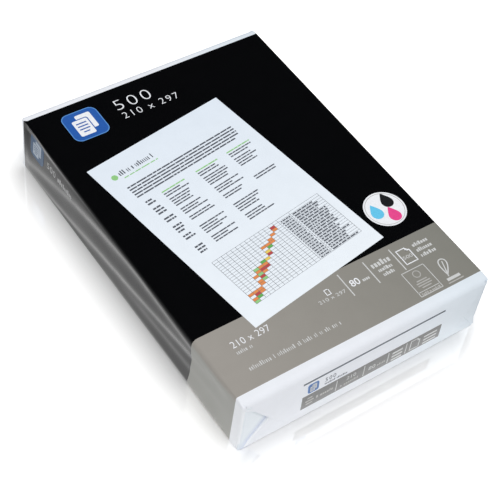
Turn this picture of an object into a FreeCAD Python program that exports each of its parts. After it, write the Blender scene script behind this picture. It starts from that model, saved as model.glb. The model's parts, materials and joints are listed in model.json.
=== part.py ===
import FreeCAD, Part
import math
import os
import Sketcher

# A sealed ream of 500 sheets of A4 copy paper in its paper wrapper, lying flat.
# Frame: origin at the middle of the underside, +X along the short side, +Y along the long side, +Z up.
# The wrapper lies close round the stack. At each end the two side walls are tucked in first, the
# bottom flap is folded up over them, and the top flap is folded down over both and glued.

# Driving dimensions, in millimetres.
driving = [
    ("stack_width", 210.0),         # A4, short side
    ("stack_length", 297.0),        # A4, long side
    ("stack_height", 51.6),         # 500 sheets of 80 g/m2
    ("side_slack", 1.0),            # wrapper and air on each long side
    ("wrap_layer", 0.25),           # wrapper above and below the stack
    ("tuck_layer", 0.7),            # folded wrapper between the stack's end and the face of the tucks
    ("top_edge_radius", 2.5),       # the two upper edges along the stack
    ("bottom_edge_radius", 1.5),    # the two lower edges, pressed flat by the weight
    ("corner_radius", 1.6),         # the four upright corners
    ("top_fold_radius", 5.0),       # soft fold where the top flap turns down
    ("bottom_fold_radius", 1.8),    # tighter fold where the bottom flap turns up
    ("flap_length", 48.6),          # from the fold to the free edge of a flap
    ("tuck_depth", 18.2),           # from the side to the tip of the open triangle between the flaps
    ("bulge_height", 14.0),         # height at which the flaps stand out most
    ("bow_radius", 140.0),          # curve of the flaps, seen from the side
    ("top_flap_bulge", 3.4),        # top flap out past the tucks, at its highest point
    ("bottom_flap_bulge", 2.8),     # bottom flap out past the tucks
    ("top_flap_spread", 8.0),       # rise of the top flap's curve between the corners, seen from above
    ("bottom_flap_spread", 6.6),    # the same for the bottom flap
    ("lap_place", 24.0),            # edge of the glued lap on the underside, from the middle
    ("lap_width", 0.9),             # width and depth of the groove at that edge
    ("lap_depth", 0.3),
]

# Sizes worked out from them.
derived = [
    ("half_width", "stack_width / 2 + side_slack"),
    ("pack_top", "stack_height + 2 * wrap_layer"),
    ("tuck_plane", "stack_length / 2 + tuck_layer"),
    # Half widths of the flaps at their folds and at their free edges.
    ("top_root", "half_width - top_edge_radius"),
    ("bottom_root", "half_width - bottom_edge_radius"),
    ("top_slant", "(tuck_depth - top_edge_radius) / (pack_top / 2)"),
    ("bottom_slant", "(tuck_depth - bottom_edge_radius) / (pack_top / 2)"),
    ("top_tip", "top_root - flap_length * top_slant"),
    ("bottom_tip", "bottom_root - flap_length * bottom_slant"),
    ("top_flap_edge", "pack_top - flap_length"),
    ("flap_blank", "tuck_plane + 2 * top_flap_bulge"),
    ("trim_reach", "tuck_plane + 3 * top_flap_bulge"),
    ("corner_start", "tuck_plane - corner_radius"),
    ("corner_end", "half_width - corner_radius"),
    ("section_side", "pack_top - top_edge_radius"),
    ("lap_side", "lap_place + lap_width"),
    # Centres and radii of the flaps' curves, and where the curves meet the pack's top and underside.
    ("top_bow_centre", "tuck_plane + top_flap_bulge - bow_radius"),
    ("bottom_bow_centre", "tuck_plane + bottom_flap_bulge - bow_radius"),
    ("bottom_bow_top", "bottom_bow_centre + sqrt(bow_radius ^ 2 - (pack_top - bulge_height) ^ 2)"),
    ("top_bow_foot", "top_bow_centre + sqrt(bow_radius ^ 2 - bulge_height ^ 2)"),
    ("top_plan_radius", "(corner_end ^ 2 + top_flap_spread ^ 2) / (2 * top_flap_spread)"),
    ("bottom_plan_radius", "(corner_end ^ 2 + bottom_flap_spread ^ 2) / (2 * bottom_flap_spread)"),
    # The top fold's arc touches the top face and, further out, the top flap's curve.
    ("top_fold_rise", "pack_top - top_fold_radius - bulge_height"),
    ("top_fold_run", "sqrt((bow_radius - top_fold_radius) ^ 2 - top_fold_rise ^ 2)"),
    ("top_fold_ratio", "bow_radius / (bow_radius - top_fold_radius)"),
    ("top_fold_start", "top_bow_centre + top_fold_run"),
    ("top_fold_end", "top_bow_centre + top_fold_run * top_fold_ratio"),
    ("top_fold_end_height", "bulge_height + top_fold_rise * top_fold_ratio"),
    # The bottom fold's arc touches the underside and the bottom flap's curve.
    ("bottom_fold_drop", "bulge_height - bottom_fold_radius"),
    ("bottom_fold_run", "sqrt((bow_radius - bottom_fold_radius) ^ 2 - bottom_fold_drop ^ 2)"),
    ("bottom_fold_ratio", "bow_radius / (bow_radius - bottom_fold_radius)"),
    ("bottom_fold_start", "bottom_bow_centre + bottom_fold_run"),
    ("bottom_fold_end", "bottom_bow_centre + bottom_fold_run * bottom_fold_ratio"),
    ("bottom_fold_end_height", "bulge_height - bottom_fold_drop * bottom_fold_ratio"),
]

node_name = "wrapped_ream"

doc = FreeCAD.newDocument("ream_of_paper")
sheet = doc.addObject("Spreadsheet::Sheet", "Sizes")
for row, (alias, number) in enumerate(driving, start=1):
    sheet.set(f"A{row}", alias)
    sheet.set(f"B{row}", str(number))
    sheet.setAlias(f"B{row}", alias)
for row, (alias, formula) in enumerate(derived, start=len(driving) + 1):
    sheet.set(f"A{row}", alias)
    sheet.set(f"B{row}", "=" + formula)
    sheet.setAlias(f"B{row}", alias)
doc.recompute()

body = doc.addObject("PartDesign::Body", "WrappedReam")
body.Label = node_name


def size_of(name):
    """The value of a named size, which may carry a minus sign; zero stands for the axis."""
    if name == "0":
        return 0.0
    if name.startswith("-"):
        return -float(sheet.get(name[1:]))
    return float(sheet.get(name))


def formula_of(name):
    """The same size as a formula that refers to the sheet."""
    if name.startswith("-"):
        return "-Sizes." + name[1:]
    return "Sizes." + name


def plane(role):
    """One of the body's own origin planes."""
    return next(feature for feature in body.Origin.OriginFeatures if feature.Role == role)


def new_sketch(name, role):
    sketch = body.newObject("Sketcher::SketchObject", name)
    sketch.AttachmentSupport = [(plane(role), "")]
    sketch.MapMode = "FlatFace"
    return sketch


def arc_between(start, end, radius, side):
    """An arc whose centre lies on the left or the right of the way from start to end."""
    chord = end - start
    across = FreeCAD.Vector(-chord.y, chord.x, 0).normalize()
    if side == "right":
        across = -across
    reach = math.sqrt(radius ** 2 - (chord.Length / 2) ** 2)
    centre = start + chord * 0.5 + across * reach
    circle = Part.Circle(centre, FreeCAD.Vector(0, 0, 1), radius)
    first, last = (start, end) if side == "left" else (end, start)
    first_angle = math.atan2(first.y - centre.y, first.x - centre.x)
    last_angle = math.atan2(last.y - centre.y, last.x - centre.x)
    return Part.ArcOfCircle(circle, first_angle, last_angle)


def outline(sketch, corners):
    """Draws a closed outline and ties each corner and each radius to the sheet.

    A corner is (across, up), and the edge that leaves it is straight, or
    (across, up, radius, side), and that edge is an arc with its centre on that side.
    """
    points = [FreeCAD.Vector(size_of(corner[0]), size_of(corner[1]), 0) for corner in corners]
    edges = []
    for index, corner in enumerate(corners):
        start = points[index]
        end = points[(index + 1) % len(points)]
        if len(corner) == 2:
            number = sketch.addGeometry(Part.LineSegment(start, end))
            edges.append((number, 1, 2))
            continue
        radius, side = corner[2], corner[3]
        number = sketch.addGeometry(arc_between(start, end, size_of(radius), side))
        edges.append((number, 1, 2) if side == "left" else (number, 2, 1))
        held = sketch.addConstraint(Sketcher.Constraint("Radius", number, size_of(radius)))
        sketch.setExpression(f"Constraints[{held}]", formula_of(radius))
    for index, corner in enumerate(corners):
        number, start_point, end_point = edges[index]
        next_number, next_start, _ = edges[(index + 1) % len(edges)]
        sketch.addConstraint(Sketcher.Constraint("Coincident", number, end_point, next_number, next_start))
        for kind, axis, name in (("DistanceX", -2, corner[0]), ("DistanceY", -1, corner[1])):
            if name == "0":
                sketch.addConstraint(Sketcher.Constraint("PointOnObject", number, start_point, axis))
                continue
            held = sketch.addConstraint(Sketcher.Constraint(kind, number, start_point, size_of(name)))
            sketch.setExpression(f"Constraints[{held}]", formula_of(name))


def negated(name):
    """The name of a size with its sign changed."""
    if name == "0":
        return name
    return name[1:] if name.startswith("-") else "-" + name


def turned(corners, column):
    """The same outline on the other side of an axis: column 0 mirrors across, 1 mirrors up."""
    other_side = {"left": "right", "right": "left"}
    result = []
    for corner in corners:
        place = [corner[0], corner[1]]
        place[column] = negated(place[column])
        if len(corner) == 4:
            place += [corner[2], other_side[corner[3]]]
        result.append(tuple(place))
    return result


def outside_of_end(plan_radius):
    """What lies outside one end, seen from above: round the two corners and past a flap's curve."""
    return [
        ("half_width", "corner_start", "corner_radius", "left"),
        ("corner_end", "tuck_plane", plan_radius, "left"),
        ("-corner_end", "tuck_plane", "corner_radius", "left"),
        ("-half_width", "corner_start"),
        ("-half_width", "trim_reach"),
        ("half_width", "trim_reach"),
    ]


def pad(name, sketch, reach):
    """Adds the outline's solid, from minus reach to plus reach across the sketch's plane."""
    feature = body.newObject("PartDesign::Pad", name)
    feature.Profile = sketch
    feature.SideType = "Symmetric"
    feature.setExpression("Length", f"2 * Sizes.{reach}")
    doc.recompute()


def cut(name, sketch):
    """Cuts the outline right through the pack, both ways, and makes sure that it removed something."""
    before = body.Shape.Volume
    feature = body.newObject("PartDesign::Pocket", name)
    feature.Profile = sketch
    feature.SideType = "Symmetric"
    feature.Type = "ThroughAll"
    doc.recompute()
    removed = before - body.Shape.Volume
    print(f"{name} removed {removed:.1f} mm3")
    if removed <= 0:
        raise RuntimeError(name + " removed nothing")


# The wrapped stack, without its end flaps: a block with rounded long edges.
section = new_sketch("StackSection", "XZ_Plane")
outline(section, [
    ("bottom_root", "0", "bottom_edge_radius", "left"),
    ("half_width", "bottom_edge_radius"),
    ("half_width", "section_side", "top_edge_radius", "left"),
    ("top_root", "pack_top"),
    ("-top_root", "pack_top", "top_edge_radius", "left"),
    ("-half_width", "section_side"),
    ("-half_width", "bottom_edge_radius", "bottom_edge_radius", "left"),
    ("-bottom_root", "0"),
])
pad("WrappedStack", section, "tuck_plane")

# The bottom flap of each end, which narrows upwards between the tucks.
bottom_flap = new_sketch("BottomFlapOutline", "XZ_Plane")
outline(bottom_flap, [
    ("bottom_root", "0"),
    ("bottom_tip", "flap_length"),
    ("-bottom_tip", "flap_length"),
    ("-bottom_root", "0"),
])
pad("BottomFlaps", bottom_flap, "flap_blank")

# What lies outside the bottom flap's curve, seen from the side and then from above, is cut away.
bottom_side = [
    ("bottom_fold_start", "0", "bottom_fold_radius", "left"),
    ("bottom_fold_end", "bottom_fold_end_height", "bow_radius", "left"),
    ("bottom_bow_top", "pack_top"),
    ("trim_reach", "pack_top"),
    ("trim_reach", "0"),
]
bottom_side_cut = new_sketch("BottomFlapSideCurve", "YZ_Plane")
outline(bottom_side_cut, bottom_side)
outline(bottom_side_cut, turned(bottom_side, 0))
cut("BottomFlapBow", bottom_side_cut)

bottom_plan = outside_of_end("bottom_plan_radius")
bottom_plan_cut = new_sketch("BottomFlapPlanCurve", "XY_Plane")
outline(bottom_plan_cut, bottom_plan)
outline(bottom_plan_cut, turned(bottom_plan, 1))
cut("BottomFlapSpread", bottom_plan_cut)

# The top flap of each end, outside the bottom flap, with its free edge just above the underside.
top_flap = new_sketch("TopFlapOutline", "XZ_Plane")
outline(top_flap, [
    ("top_tip", "top_flap_edge"),
    ("top_root", "pack_top"),
    ("-top_root", "pack_top"),
    ("-top_tip", "top_flap_edge"),
])
pad("TopFlaps", top_flap, "flap_blank")

top_side = [
    ("top_bow_foot", "0", "bow_radius", "left"),
    ("top_fold_end", "top_fold_end_height", "top_fold_radius", "left"),
    ("top_fold_start", "pack_top"),
    ("trim_reach", "pack_top"),
    ("trim_reach", "0"),
]
top_side_cut = new_sketch("TopFlapSideCurve", "YZ_Plane")
outline(top_side_cut, top_side)
outline(top_side_cut, turned(top_side, 0))
cut("TopFlapBow", top_side_cut)

top_plan = outside_of_end("top_plan_radius")
top_plan_cut = new_sketch("TopFlapPlanCurve", "XY_Plane")
outline(top_plan_cut, top_plan)
outline(top_plan_cut, turned(top_plan, 1))
cut("TopFlapSpread", top_plan_cut)

# The edge of the glued lap, a fine line along the underside.
lap = new_sketch("LapOutline", "XZ_Plane")
outline(lap, [
    ("lap_place", "0"),
    ("lap_side", "0"),
    ("lap_side", "lap_depth"),
    ("lap_place", "lap_depth"),
])
cut("LapEdge", lap)

failed = [item.Name for item in doc.Objects if "Invalid" in item.State or "Error" in item.State]
if failed:
    raise RuntimeError("failed features: " + ", ".join(failed))

shape = body.Shape
if shape.isNull() or not shape.isValid() or len(shape.Solids) != 1:
    raise RuntimeError(node_name + " is not one sound solid")

os.makedirs("parts", exist_ok=True)
shape.exportStep(os.path.join("parts", node_name + ".step"))
box = shape.BoundBox
print(f"{node_name}: {box.XLength:.1f} x {box.YLength:.1f} x {box.ZLength:.1f} mm")
print(f"volume {shape.Volume / 1e6:.3f} litres")
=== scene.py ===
import json
import math
import bmesh
import bpy
import numpy as np
from mathutils import Matrix, Vector

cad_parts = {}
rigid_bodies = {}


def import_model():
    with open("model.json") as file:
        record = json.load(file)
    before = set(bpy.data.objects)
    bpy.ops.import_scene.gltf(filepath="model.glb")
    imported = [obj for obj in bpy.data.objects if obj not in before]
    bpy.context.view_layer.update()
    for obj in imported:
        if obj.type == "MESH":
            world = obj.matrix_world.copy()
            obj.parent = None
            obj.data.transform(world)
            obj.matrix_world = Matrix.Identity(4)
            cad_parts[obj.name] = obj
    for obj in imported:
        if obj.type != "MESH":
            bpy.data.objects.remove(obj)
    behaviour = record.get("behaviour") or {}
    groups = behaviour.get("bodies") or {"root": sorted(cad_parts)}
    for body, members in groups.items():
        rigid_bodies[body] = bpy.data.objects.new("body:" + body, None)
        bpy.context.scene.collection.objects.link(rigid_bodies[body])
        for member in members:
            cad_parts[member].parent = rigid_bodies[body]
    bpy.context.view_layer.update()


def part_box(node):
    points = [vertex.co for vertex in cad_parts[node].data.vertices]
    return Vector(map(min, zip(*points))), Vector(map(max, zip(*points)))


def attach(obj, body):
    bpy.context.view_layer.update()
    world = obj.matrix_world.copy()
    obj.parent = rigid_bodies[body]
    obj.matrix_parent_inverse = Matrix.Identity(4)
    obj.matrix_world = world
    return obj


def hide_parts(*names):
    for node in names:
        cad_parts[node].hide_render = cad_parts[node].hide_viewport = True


# A sealed ream of A4 copy paper in its printed wrapper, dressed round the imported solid.
# Formulas are in millimetres in the solid's own frame, and a mesh is written in metres.

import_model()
mm = 0.001
_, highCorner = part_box("wrapped_ream")

pack = {
    "halfWidth": highCorner.x / mm,
    "top": highCorner.z / mm,
    "reach": highCorner.y / mm,  # how far the end flaps stand out
    "tuckInset": 3.1,  # tucks lie this far inside that reach
    "leftEdgeRadius": 4.7,  # the upper long edges; the left one is softer
    "cornerEdgeRadius": 1.5,  # and tightens towards its two ends, to this radius
    "rightEdgeRadius": 1.4,
    "bottomEdgeRadius": 1.4,
    "bandStart": -88.5,  # black print ends and grey begins, along Y
    "printStart": -140.7,  # grey print ends and bare paper begins
    "printEnd": 143.4,  # black print ends at the far side
    "sidePrintEnd": 146.3,  # and on the long sides
}
pack["endPlane"] = pack["reach"] - pack["tuckInset"]


def smoothStep(value, low, high):
    # t*t*(3 - 2t), with t running from 0 at low to 1 at high
    t = np.clip((value - low) / (high - low), 0, 1)
    return t * t * (3 - 2 * t)


def softMin(a, b, softness):
    # the smaller of two fields, rounded where they cross: (a + b - sqrt((a - b)^2 + k^2)) / 2
    return (a + b - np.sqrt((a - b) ** 2 + softness ** 2)) / 2


# Materials

acrossPack, alongPack = (1, 0, 0), (0, 1, 0)
coated = (acrossPack, (-0.11, 0.11), 0.42, 0.4)
papers = {  # colour stops, their direction and span in metres, roughness, specular; where the stops differ, the change is painted shade
    # bare paper, darker towards the right: painted shade
    "coated_white_painted_shade": ([(0.0, (0.858, 0.882, 0.935)), (0.55, (0.838, 0.866, 0.921)),
                      (0.84, (0.782, 0.848, 0.914)), (1.0, (0.74, 0.812, 0.88))], *coated),
    "printed_black": ([(0.0, (0.0014, 0.0016, 0.0022))], alongPack, (-0.15, 0.15), 0.20, 0.5),
    # bare paper of the right tucks, darker than the flaps' paper and darker still towards the right: painted
    # shade
    "folded_white_painted_shade": ([(0.7, (0.81, 0.866, 0.915)), (1.0, (0.74, 0.812, 0.88))], *coated),
    "folded_painted_shade": ([(0.3, (0.69, 0.75, 0.875)), (1.0, (0.81, 0.866, 0.915))],  # painted shade on the left tucks: darkest beside the bottom flap's edge, fading away from it
                     (-0.835, 0, 0.550), (0.0834, 0.0905), 0.42, 0.4),
    # grey print, darker towards the right: the grey is print, the darkening is painted shade
    "printed_grey_painted_shade": ([(0.0, (0.352, 0.330, 0.302)), (1.0, (0.236, 0.234, 0.207))],
                     acrossPack, (-0.10, 0.11), 0.36, 0.4),
    # lighter copies of the bare paper and the grey print for the left long side: painted light
    "side_white_painted_light": ([(0.0, (0.89, 0.915, 0.955))], *coated),
    "side_grey_painted_light": ([(0.0, (0.362, 0.363, 0.34))], *coated),
    # lighter paper for the bottom flaps' rounded left edge: a painted highlight on the fold
    "rim_painted_highlight": ([(0.0, (0.94, 0.962, 0.995))], *coated),
    # the pictured page, darker towards the far end: the page is print, the darkening along it is painted shade
    "pictured_sheet_painted_shade": ([(0.0, (0.872, 0.928, 0.985)), (1.0, (0.785, 0.862, 0.955))],
                       alongPack, (-0.10, 0.10), 0.38, 0.35, 0.3),
}

grain = {
    "mottleScale": 90.0,  # patterns per metre, and their depths in metres
    "speckScale": 700.0,
    "fibreScale": 1400.0,
    "fibreDepth": 0.000012,
    "waveScale": 28.0,  # slow waves of damp paper
    "waveDepth": 0.00035,
    "inkRoughness": 0.34,
    "inkSpecular": 0.35,
}

inks = {
    "white": (0.86, 0.88, 0.92),
    "pale": (0.62, 0.63, 0.63),
    "faint": (0.46, 0.455, 0.44),
    "black": (0.012, 0.013, 0.016),
    "text": (0.10, 0.11, 0.135),
    "lineGrey": (0.115, 0.135, 0.16),
    "bandGrey": (0.152, 0.152, 0.148),
    "blue": (0.014, 0.105, 0.43),
    "blueRim": (0.10, 0.30, 0.68),
    "endBlue": (0.07, 0.17, 0.42),
    # inks of the emblem and figures on the left long side: darker, greyer copies of the top's inks, painted
    # shade
    "dimBlue": (0.045, 0.10, 0.19),
    "dimRim": (0.055, 0.13, 0.26),
    "dimPale": (0.40, 0.46, 0.54),
    "dim": (0.42, 0.425, 0.43),
    "cyan": (0.125, 0.57, 0.85),
    "pink": (0.82, 0.06, 0.27),
    "green": (0.13, 0.45, 0.10),
    "softGreen": (0.30, 0.62, 0.24),
    "yellow": (0.83, 0.62, 0.12),
    "orange": (0.78, 0.27, 0.08),
    "red": (0.52, 0.07, 0.07),
    "rule": (0.17, 0.18, 0.20),
}


def newMaterial(name, colour, roughness, specular):
    material = bpy.data.materials.new(name)
    material.use_nodes = True
    shader = material.node_tree.nodes["Principled BSDF"]
    shader.inputs["Base Color"].default_value = (*colour, 1)
    shader.inputs["Roughness"].default_value = roughness
    shader.inputs["Specular IOR Level"].default_value = specular
    return material, shader


def addNode(owner, kind, inputs=None, **settings):
    # a new node for a material or world, with its settings, and a value or a wire for each input
    node = owner.node_tree.nodes.new(kind)
    for name, value in settings.items():
        setattr(node, name, value)
    for socket, value in (inputs or {}).items():
        if isinstance(value, bpy.types.NodeSocket):
            owner.node_tree.links.new(value, node.inputs[socket])
        else:
            node.inputs[socket].default_value = value
    return node


def noise(owner, place, scale, detail, roughness):
    inputs = {"Vector": place, "Scale": scale, "Detail": detail, "Roughness": roughness}
    return addNode(owner, "ShaderNodeTexNoise", inputs).outputs["Fac"]


def ramp(owner, factor, stops):
    node = addNode(owner, "ShaderNodeValToRGB", {"Fac": factor})
    elements = node.color_ramp.elements
    elements[0].position, elements[0].color = stops[0][0], (*stops[0][1], 1)
    elements[1].position, elements[1].color = stops[-1][0], (*stops[-1][1], 1)
    for position, colour in stops[1:-1]:
        elements.new(position).color = (*colour, 1)
    return node.outputs["Color"]


def remap(owner, value, fromLow, fromHigh, toLow=0.0, toHigh=1.0, **settings):
    inputs = {"Value": value, "From Min": fromLow, "From Max": fromHigh, "To Min": toLow, "To Max": toHigh}
    return addNode(owner, "ShaderNodeMapRange", inputs, **settings).outputs["Result"]


def bump(owner, height, distance, **wires):
    inputs = {"Height": height, "Distance": distance, **wires}
    return addNode(owner, "ShaderNodeBump", inputs).outputs["Normal"]


def vectorStep(owner, operation, *operands):
    node = addNode(owner, "ShaderNodeVectorMath", dict(enumerate(operands)), operation=operation)
    return node.outputs["Value" if operation in ("DOT_PRODUCT", "LENGTH") else "Vector"]


def paperMaterial(name, stops, direction, span, roughness, specular, cockle=1.0):
    # coated paper: a colour that changes along a direction, which is painted shade where its stops differ,
    # faint mottle, uneven gloss, fibre and slow waves
    material, shader = newMaterial(name, stops[0][1], roughness, specular)
    link = material.node_tree.links.new
    place = addNode(material, "ShaderNodeTexCoord").outputs["Object"]
    paintedShadeRamp = ramp(material, remap(material, vectorStep(material, "DOT_PRODUCT", place, direction), *span), stops)
    mottle = noise(material, place, grain["mottleScale"], 3.0, 0.6)
    shade = remap(material, mottle, 0.25, 0.75, 0.965, 1.0)
    colour = addNode(material, "ShaderNodeMix", {"Factor": 1.0, 6: paintedShadeRamp, 7: shade},
                     data_type="RGBA", blend_type="MULTIPLY")
    waves = bump(material, noise(material, place, grain["waveScale"], 1.0, 0.4), grain["waveDepth"] * cockle)
    fibre = noise(material, place, grain["fibreScale"], 2.0, 0.6)
    link(colour.outputs[2], shader.inputs["Base Color"])
    link(remap(material, mottle, 0.2, 0.8, roughness - 0.03, roughness + 0.05), shader.inputs["Roughness"])
    link(bump(material, fibre, grain["fibreDepth"], Normal=waves), shader.inputs["Normal"])
    return material


def inkMaterial(name, colour):
    # printed ink: its colour with a fine screen of lighter specks, and the paper's fibre under it
    material, shader = newMaterial("ink_" + name, colour, grain["inkRoughness"], grain["inkSpecular"])
    place = addNode(material, "ShaderNodeTexCoord").outputs["Object"]
    speck = noise(material, place, grain["speckScale"], 2.0, 0.6)
    lighter = tuple(min(1.0, c * 1.06 + 0.004) for c in colour)
    darker = tuple(c * 0.95 for c in colour)
    link = material.node_tree.links.new
    link(ramp(material, speck, [(0.3, darker), (0.7, lighter)]), shader.inputs["Base Color"])
    link(bump(material, speck, grain["fibreDepth"]), shader.inputs["Normal"])
    return material


paperMaterials = {name: paperMaterial(name, *values) for name, values in papers.items()}
inkMaterials = {name: inkMaterial(name, colour) for name, colour in inks.items()}
print("materials ready:", len(bpy.data.materials))


# Mesh helpers

def gridFaces(rows, columns, closed):
    # quads between neighbouring rows; closed joins the last column to the first
    row, column = np.meshgrid(np.arange(rows - 1), np.arange(columns if closed else columns - 1), indexing="ij")
    nextColumn = (column + 1) % columns
    corners = (row * columns + column, (row + 1) * columns + column,
               (row + 1) * columns + nextColumn, row * columns + nextColumn)
    return np.stack(corners, -1).reshape(-1, 4)


def makePiece(name, points, faces, materials, faceMaterial=None, smooth=True):
    # one mesh from points in millimetres; doubles are merged, flat leftovers dropped, and faces turned outwards
    weld = 1e-6
    mesh = bpy.data.meshes.new(name)
    mesh.from_pydata((np.asarray(points) * mm).tolist(), [], [list(face) for face in faces])
    for material in materials:
        mesh.materials.append(material)
    if faceMaterial is not None:
        mesh.polygons.foreach_set("material_index", np.asarray(faceMaterial, np.int32))
    built = bmesh.new()
    built.from_mesh(mesh)
    bmesh.ops.remove_doubles(built, verts=built.verts, dist=weld)
    bmesh.ops.dissolve_degenerate(built, edges=built.edges, dist=weld)
    bmesh.ops.recalc_face_normals(built, faces=built.faces)
    built.to_mesh(mesh)
    built.free()
    mesh.polygons.foreach_set("use_smooth", np.full(len(mesh.polygons), smooth))
    piece = bpy.data.objects.new(name, mesh)
    bpy.context.scene.collection.objects.link(piece)
    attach(piece, "root")
    return piece


# Wrapper

wrapper = {
    "flatSegments": 44,
    "sideSegments": 56,
    "arcSegments": 10,
    "rowStep": 1.3,
    "shoulderSteps": 9,
    "capSteps": 16,
    "topShoulder": 5.6,  # radii of the turn from the body into the ends
    "sideShoulder": 2.0,
    "bottomShoulder": 0.9,
    "topShoulderInset": 0.5,  # the turn under the top flap lies this far inside the tucks
    "nearTight": (70.0, 135.0),  # distances from the middle where the soft edge tightens
    "farTight": (100.0, 138.0),
    "lapPlace": 24.0,  # edge of the glued lap on the underside
    "lapStep": 0.18,
    "lapSoft": 0.15,
    # bare, black and grey, then bare and grey on the left side, in lighter copies of their papers: painted
    # light
    "papers": ("coated_white_painted_shade", "printed_black", "printed_grey_painted_shade", "side_white_painted_light", "side_grey_painted_light"),
}

relief = {
    "streaks": [  # width and rise of each pulled fold in a long side
        {"width": 5.0, "rise": 2.3},
        {"width": 4.2, "rise": 2.2},
        {"width": 3.6, "rise": 1.0},
    ],
    "upper": (44.5, 21.5),  # height of the first, and how far it bends down at the far end
    "upperBend": (-20, 121.5, 1.6),  # Y where it begins to bend, the length of the bend, and its power
    "middle": (31.4, 0.1556),  # height of the second near the black print's near end, and slope
    "lower": (18.0, 0.10),
    "slopeFrom": -78.5,
    "lowerFade": (-20, 30),  # the third fades in over these distances before the middle
    "slack": 0.5,  # how far the side lies inside its edges on average
    "slackSpan": (16.0, 28.0, 46.0),  # heights where the slack is full, begins to end and ends
    "footFade": (0.2, 5.5),  # distances from the pack's edges over which the relief comes in
    "topFade": (1.5, 9.0),
    "nearFade": (9.0, 34.0),
    "farFade": (3.0, 12.0),
    "rightTurn": 0.6,  # the right side is milder
}


def streakHeights(y):
    # lines of the pulled folds: one bends up along the upper edge, one runs straight, one is short and faint
    start, length, power = relief["upperBend"]
    upper = relief["upper"][0] - relief["upper"][1] * (np.clip(y - start, 0, None) / length) ** power
    middle, lower = [height - slope * (y - relief["slopeFrom"])
                     for height, slope in (relief["middle"], relief["lower"])]
    return upper, middle, lower


def sideRelief(y, z, strength=1.0):
    # inward depth of a long side: the surface steps out by rise * tanh((z - streak) / width) / 2 at each
    # streak and leans back in between, less its average over the height, with some slack halfway up, and
    # fades at the edges and the ends
    y, z = np.broadcast_arrays(y, z)

    def folds(height):
        made = 0.0
        leaning = (height - pack["top"] / 2) / (pack["top"] - pack["leftEdgeRadius"])
        fades = (1.0, 1.0, smoothStep(-y, *relief["lowerFade"]))
        for line, streak, fade in zip(streakHeights(y), relief["streaks"], fades):
            made = made + fade * streak["rise"] * (leaning - np.tanh((height - line) / streak["width"]) / 2)
        return made

    average = sum(folds(height) for height in np.linspace(2, pack["top"] - 4, 12)) / 12
    low, high, end = relief["slackSpan"]
    depth = relief["slack"] * smoothStep(z, 0.0, low) * smoothStep(end - z, 0.0, end - high)
    depth = depth + (folds(z) - average) * strength
    window = smoothStep(z, *relief["footFade"]) * smoothStep(pack["top"] - z, *relief["topFade"])
    window = window * smoothStep(pack["endPlane"] + y, *relief["nearFade"])
    return depth * window * smoothStep(pack["endPlane"] - y, *relief["farFade"])


def bodySection():
    # closed outline of the pack across X and Z: four straight runs joined by quarter circles,
    # with each point's outward normal, its turn radius at the ends, its place on the closing slit
    # and a 1 along the softer upper left edge
    a, h = pack["halfWidth"], pack["top"]
    left, right, rb = pack["leftEdgeRadius"], pack["rightEdgeRadius"], pack["bottomEdgeRadius"]
    slit = a - h / 2
    flat = np.arange(wrapper["flatSegments"]) / wrapper["flatSegments"]
    side = np.arange(wrapper["sideSegments"]) / wrapper["sideSegments"]
    arc = np.arange(wrapper["arcSegments"]) / wrapper["arcSegments"]
    lowR, sideR, topR = wrapper["bottomShoulder"], wrapper["sideShoulder"], wrapper["topShoulder"]
    runs = []

    def straight(t, x0, z0, x1, z1, nx, nz, r0, r1, s0, s1):
        one = np.ones_like(t)
        runs.append((x0 + (x1 - x0) * t, z0 + (z1 - z0) * t, nx * one, nz * one,
                     r0 + (r1 - r0) * t, s0 + (s1 - s0) * t, 0 * one))

    def corner(cx, cz, radius, start, r0, r1, s, soft=0):
        angle = np.radians(start + 90 * arc)
        one = np.ones_like(arc)
        runs.append((cx + radius * np.cos(angle), cz + radius * np.sin(angle), np.cos(angle), np.sin(angle),
                     r0 + (r1 - r0) * arc, s * one, soft * one))

    straight(flat, -(a - rb), 0, a - rb, 0, 0, -1, lowR, lowR, -slit, slit)
    corner(a - rb, rb, rb, -90, lowR, sideR, slit)
    straight(side, a, rb, a, h - right, 1, 0, sideR, sideR, slit, slit)
    corner(a - right, h - right, right, 0, sideR, topR, slit)
    straight(flat, a - right, h, -(a - left), h, 0, 1, topR, topR, slit, -slit)
    corner(-(a - left), h - left, left, 90, topR, sideR, -slit, 1)
    straight(side, -a, h - left, -a, rb, -1, 0, sideR, sideR, -slit, -slit)
    corner(-(a - rb), rb, rb, 180, sideR, lowR, -slit)
    return [np.concatenate(column) for column in zip(*runs)]


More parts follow.
